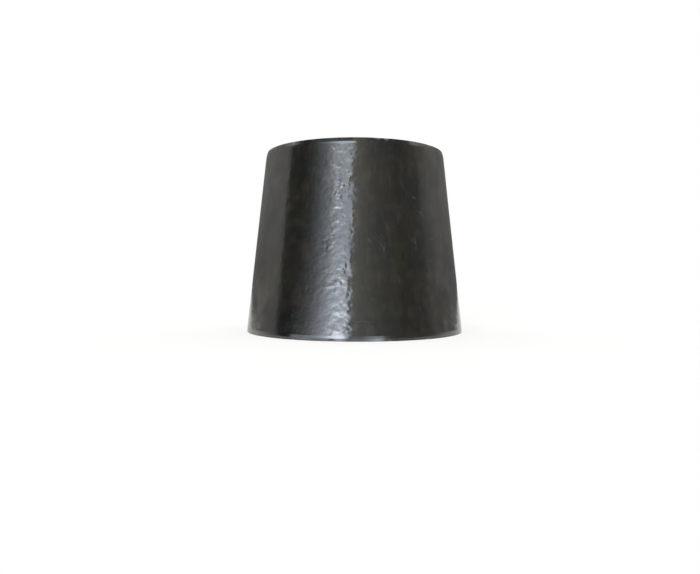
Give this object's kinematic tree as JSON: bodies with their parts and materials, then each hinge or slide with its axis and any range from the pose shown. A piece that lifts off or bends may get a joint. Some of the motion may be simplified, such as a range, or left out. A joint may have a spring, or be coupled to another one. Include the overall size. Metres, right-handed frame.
{
  "type": "eccentric reducer",
  "caption": "Eccentric butt-weld pipe reducer: a leaning truncated-cone steel shell, straight along one side, open through both ends.",
  "frame": {"origin": "centre of the large end's face, on the plane that the part stands on", "axes": "+Z along the large end's axis, towards the small end; +Y towards the straight side, the way the small end is offset; +X completes the right-handed frame"},
  "size_m": [0.168, 0.168, 0.14],
  "materials": {
    "body": "satin"
  },
  "bodies": {
    "root": {"reducer_body": "body"}
  },
  "joints": []
}
